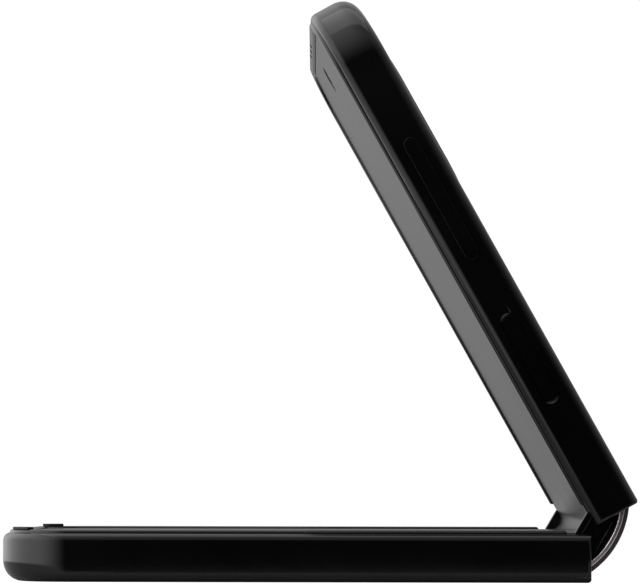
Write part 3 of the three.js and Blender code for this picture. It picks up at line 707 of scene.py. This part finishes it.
def build_upper_frame():
    ring = frame_ring("upper_frame_shell", UPPER)
    cut(
        ring,
        prism("volume_hole", key_outline(VOLUME, KEY_GAP), "y", *NEAR_WALL),
        prism("power_hole", key_outline(POWER, KEY_GAP), "y", *NEAR_WALL),
        prism("tray_hole", key_outline(TRAY, KEY_GAP), "y", *FAR_WALL),
        prism("eye_hole", circle(EYE["u"], EYE["y"], EYE["hole"], 48), "z", 4, OVER),
        microphone_hole(UPPER),
    )
    bevel(ring, "frame")
    fit_out(ring, "upper_half", "frame_metal", ["upper_frame"])


def build_upper_skins():
    cover = body_blank("upper_back_glass", UPPER, UNDER, COVER_TOP)
    cut(
        cover,
        prism("island_hole", panel_outline(ISLAND, FIT), "z", -2, 2),
        prism("flash_hole", circle(FLASH["u"], FLASH["y"], FLASH["radius"] + FIT), "z", -2, 2),
        prism("display_hole", panel_outline(DISPLAY, FIT), "z", -2, 2),
    )
    bevel(cover, "glass")
    fit_out(cover, "upper_half", "back_glass", ["upper_back_cover"])
    rim = bevel(rim_ring("upper_rim_moulding", UPPER), "rim")
    outer, inner = EARPIECE_SLOTS["insets"]
    reach = EARPIECE_SLOTS["half_length"]
    for y in (-EARPIECE_SLOTS["pitch"], 0, EARPIECE_SLOTS["pitch"]):
        slot = rounded_rect(TIP - outer, TIP - inner, y - reach, y + reach, EARPIECE_SLOTS["radius"])
        cut(rim, prism("earpiece_slot", slot, "z", 5, OVER))
    fit_out(rim, "upper_half", "rim_plastic", ["upper_rim"])
    screen = screen_sheet("upper_screen_sheet", UPPER)
    cut(screen, prism("eye_window", circle(EYE["u"], EYE["y"], EYE["radius"]), "z", 4, OVER))
    bevel(screen, "sheet")
    fit_out(screen, "upper_half", "screen_film", ["upper_screen"])


def lens_dome(name, u, y, radius, z, height):
    """Shallow glass dome that bulges up."""
    steps, rings = 32, 6
    verts = [(u, y, z + height)]
    for r in range(1, rings + 1):
        t = r / rings
        for k in range(steps):
            a = 2 * math.pi * k / steps
            verts.append((u + radius * t * math.cos(a), y + radius * t * math.sin(a),
                          z + height * (1 - t * t)))
    faces = [(0, 1 + k, 1 + (k + 1) % steps) for k in range(steps)]
    for r in range(rings - 1):
        for k in range(steps):
            a, b = 1 + r * steps + k, 1 + r * steps + (k + 1) % steps
            faces.append((a, a + steps, b + steps, b))
    last = 1 + (rings - 1) * steps
    faces.append(tuple(range(last, last + steps)))
    dome = make(name, verts, faces)
    return fit_out(dome, "upper_half", "lens_glass")


def build_front_camera():
    u, y = EYE["u"], EYE["y"]
    barrel = prism("front_camera_barrel", circle(u, y, EYE["barrel"]), "z", *EYE["barrel_z"])
    cut(barrel, prism("bore", circle(u, y, EYE["bore"]), "z", EYE["lens_z"], OVER))
    bevel(barrel, "part")
    fit_out(barrel, "upper_half", "lens_glass", ["front_camera"])
    lens_dome("front_camera_element", u, y, EYE["bore"] - 0.05, EYE["lens_z"] + 0.1, 0.35)


def build_rear_cameras():
    y = sum(ISLAND["y"]) / 2
    plate = prism("camera_island_plate", panel_outline(ISLAND), "z", -ISLAND["proud"], COVER_TOP - 0.05)
    for _, u in LENS_SPOTS:
        cut(plate, prism("lens_hole", circle(u, y, LENS["hole"]), "z", -2, 2))
    bevel(plate, "island")
    fit_out(plate, "upper_half", "key_metal", ["camera_island"])
    for name, u in LENS_SPOTS:
        trim = prism(f"{name}_lens_trim", circle(u, y, LENS["trim"]), "z",
                     -ISLAND["proud"] - LENS["proud"], COVER_TOP - 0.1)
        cut(trim, prism("bore", circle(u, y, LENS["bore"]), "z", -2, LENS["trim_floor"]))
        bevel(trim, "lens_trim")
        fit_out(trim, "upper_half", "key_metal")
        glass = prism(f"{name}_lens_window", circle(u, y, LENS["window"]), "z",
                      -ISLAND["proud"] + LENS["sunk"], LENS["window_back"])
        bevel(glass, "glass")
        fit_out(glass, "upper_half", "lens_glass", [f"{name}_camera_lens"])
    lamp = prism("flash_lamp", circle(FLASH["u"], FLASH["y"], FLASH["radius"]), "z", *FLASH["z"])
    bevel(lamp, "part")
    fit_out(lamp, "upper_half", "light_plastic", ["flash_window"])
    pane = prism("cover_display_pane", panel_outline(DISPLAY), "z", *DISPLAY["z"])
    bevel(pane, "glass")
    fit_out(pane, "upper_half", "lens_glass", ["cover_display"])


def build_keys():
    volume = prism("volume_rocker", key_outline(VOLUME), "y", -HALF_WIDTH - VOLUME["proud"],
                   -HALF_WIDTH + WALL)
    bevel(volume, "rocker")
    fit_out(volume, "volume_key", "key_metal", ["volume_key"])

    power = prism("power_button", key_outline(POWER), "y", -HALF_WIDTH - POWER["proud"],
                  -HALF_WIDTH + WALL)
    half = POWER["length"] / 2 + SCOOP["overrun"]
    scoop = rounded_rect(POWER["u"] - half, POWER["u"] + half, -HALF_WIDTH - SCOOP["clearance"],
                         -HALF_WIDTH + SCOOP["depth"], SCOOP["radius"], 24)
    cut(power, prism("scoop", scoop, "z", -2, OVER))
    bevel(power, "pressed")
    fit_out(power, "power_key", "key_metal", ["power_key"])
    build_tray()


def build_tray():
    """Tray face with its eject hole, and the bed with the seat for the card."""
    face = prism("sim_tray_face", key_outline(TRAY), "y", HALF_WIDTH - WALL, HALF_WIDTH - TRAY["sunk"])
    eject = circle(TRAY["u"] + EJECT["off_centre"], TRAY["z"], EJECT["radius"], 24)
    cut(face, prism("eject_hole", eject, "y", HALF_WIDTH - EJECT["depth"], HALF_WIDTH + 1))
    bed = block("bed", (TRAY["u"] - BED["half_length"], TRAY["u"] + BED["half_length"]),
                (BED["end"], HALF_WIDTH - 1), BED["z"])
    seat = rounded_rect(TRAY["u"] - BED["card_half"], TRAY["u"] + BED["card_half"],
                        BED["card_end"], HALF_WIDTH - BED["card_margin"], BED["card_radius"])
    cut(bed, prism("card_seat", seat, "z", BED["card_floor"], OVER))
    join(face, bed)
    bevel(face, "part")
    fit_out(face, "sim_tray", "frame_metal", ["sim_tray"])


# ---------------------------------------------------------------- CAD pieces kept as they are
KEPT = {
    "lower_screen_plate": "plate_steel", "upper_screen_plate": "plate_steel",
    "main_battery": "cell_foil", "upper_battery": "cell_foil", "charging_coil": "copper",
    "sub_board": "board_lacquer", "main_board": "board_lacquer", "loudspeaker": "rubber",
    "vibration_motor": "plate_steel", "lower_wing_near": "hinge_steel", "lower_wing_far": "hinge_steel",
    "upper_wing_near": "hinge_steel", "upper_wing_far": "hinge_steel", "hinge_base_near": "hinge_steel",
    "hinge_base_far": "hinge_steel", "earpiece": "rubber",
    "rear_camera_module": "cell_foil",
}


def dress_kept_nodes():
    for node, look in KEPT.items():
        mesh = frame["nodes"][node].data
        for index in range(len(mesh.materials)):
            mesh.materials[index] = LOOKS[look]


# ------------------------------------------------------------------------- stage


CAMERA = {"place": (2.97, -582.04, 12.15), "turns": (0.04895, 3.03265, 0.1203),
          "sensor": 36, "lens": 216.25}
FLOOR = {"centre": (20, 35), "radius": 120, "thickness": 2, "gap": 0.02}


def build_camera():
    yaw, pitch, roll = (math.radians(a) for a in CAMERA["turns"])
    data = bpy.data.cameras.new("camera")
    data.sensor_width = CAMERA["sensor"]
    data.lens = CAMERA["lens"]
    data.clip_start = 0.01
    camera = bpy.data.objects.new("camera", data)
    camera.matrix_world = (
        Matrix.Translation(Vector(CAMERA["place"]) * MM)
        @ Matrix.Rotation(-yaw, 4, "Z")
        @ Matrix.Rotation(math.pi / 2 + pitch, 4, "X")
        @ Matrix.Rotation(roll, 4, "Z")
    )
    bpy.context.scene.collection.objects.link(camera)
    bpy.context.scene.camera = camera


def build_floor():
    """Round white table top, lifted towards white as the camera sees it."""
    floor = prism("floor", circle(0, 0, FLOOR["radius"], 96), "z", -FLOOR["thickness"], -FLOOR["gap"])
    floor.data.transform(Matrix.Scale(MM, 4) @ Matrix.Translation((*FLOOR["centre"], 0)))
    material, nodes, links, shader = new_material("floor_paper")
    shader.inputs["Base Color"].default_value = (0.42, 0.42, 0.42, 1)
    shader.inputs["Roughness"].default_value = 0.9
    shader.inputs["Specular IOR Level"].default_value = 0.1
    glow = nodes.new("ShaderNodeEmission")
    glow.inputs["Strength"].default_value = 1.4
    seen = nodes.new("ShaderNodeLightPath")
    share = nodes.new("ShaderNodeMath")
    share.operation = "MULTIPLY_ADD"
    share.inputs[1].default_value = 0.75
    share.inputs[2].default_value = 0.0
    mix = nodes.new("ShaderNodeMixShader")
    links.new(seen.outputs["Is Camera Ray"], share.inputs[0])
    links.new(share.outputs["Value"], mix.inputs["Fac"])
    links.new(shader.outputs["BSDF"], mix.inputs[1])
    links.new(glow.outputs["Emission"], mix.inputs[2])
    links.new(mix.outputs["Shader"], nodes["Material Output"].inputs["Surface"])
    floor.data.materials.append(material)


def area_light(name, place, target, size, power):
    data = bpy.data.lights.new(name, "AREA")
    data.shape = "RECTANGLE"
    data.size, data.size_y = size
    data.energy = power
    light = bpy.data.objects.new(name, data)
    light.location = place
    direction = Vector(target) - Vector(place)
    light.rotation_euler = direction.to_track_quat("-Z", "Y").to_euler()
    bpy.context.scene.collection.objects.link(light)


def build_lights():
    """White surroundings, dark only behind the camera, and one large soft light overhead."""
    world = bpy.data.worlds.new("studio")
    bpy.context.scene.world = world
    world.use_nodes = True
    nodes, links = world.node_tree.nodes, world.node_tree.links
    place = nodes.new("ShaderNodeTexCoord")
    parts = nodes.new("ShaderNodeSeparateXYZ")
    links.new(place.outputs["Generated"], parts.inputs["Vector"])

    def band(output, start, stop, amount):
        ease = nodes.new("ShaderNodeMapRange")
        ease.interpolation_type = "SMOOTHSTEP"
        ease.inputs["From Min"].default_value = start
        ease.inputs["From Max"].default_value = stop
        ease.inputs["To Min"].default_value = 0
        ease.inputs["To Max"].default_value = amount
        links.new(parts.outputs[output], ease.inputs["Value"])
        return ease.outputs["Result"]

    def total(a, b):
        add = nodes.new("ShaderNodeMath")
        links.new(a, add.inputs[0])
        links.new(b, add.inputs[1])
        return add.outputs["Value"]

    behind = band("Y", -0.5, 0.3, 0.32)
    above = band("Z", 0.0, 0.8, 0.6)
    below = band("Z", -0.1, -0.5, 1.0)
    left = nodes.new("ShaderNodeMath")
    left.operation = "MULTIPLY"
    links.new(band("X", 0.0, -0.9, 2.2), left.inputs[0])
    links.new(band("Z", -0.6, 0.1, 1.0), left.inputs[1])
    dim = nodes.new("ShaderNodeBackground")
    links.new(total(total(behind, above), total(below, left.outputs["Value"])), dim.inputs["Strength"])
    back = nodes["Background"]
    back.inputs["Color"].default_value = (1, 1, 1, 1)
    back.inputs["Strength"].default_value = 1.02
    seen = nodes.new("ShaderNodeLightPath")
    mix = nodes.new("ShaderNodeMixShader")
    links.new(seen.outputs["Is Camera Ray"], mix.inputs["Fac"])
    links.new(dim.outputs["Background"], mix.inputs[1])
    links.new(back.outputs["Background"], mix.inputs[2])
    links.new(mix.outputs["Shader"], nodes["World Output"].inputs["Surface"])
    area_light("overhead", (0, 0, 1.1), (0, 0, 0), (1.0, 1.0), 2.5)


build_camera()
build_lower_frame()
build_socket()
build_lower_skins()
build_bumper("near", -1)
build_bumper("far", 1)
build_spine()
build_bend()
build_ribbon()
build_upper_frame()
build_upper_skins()
build_front_camera()
build_rear_cameras()
build_keys()
dress_kept_nodes()
build_floor()
build_lights()
bpy.context.scene.view_settings.view_transform = "Standard"
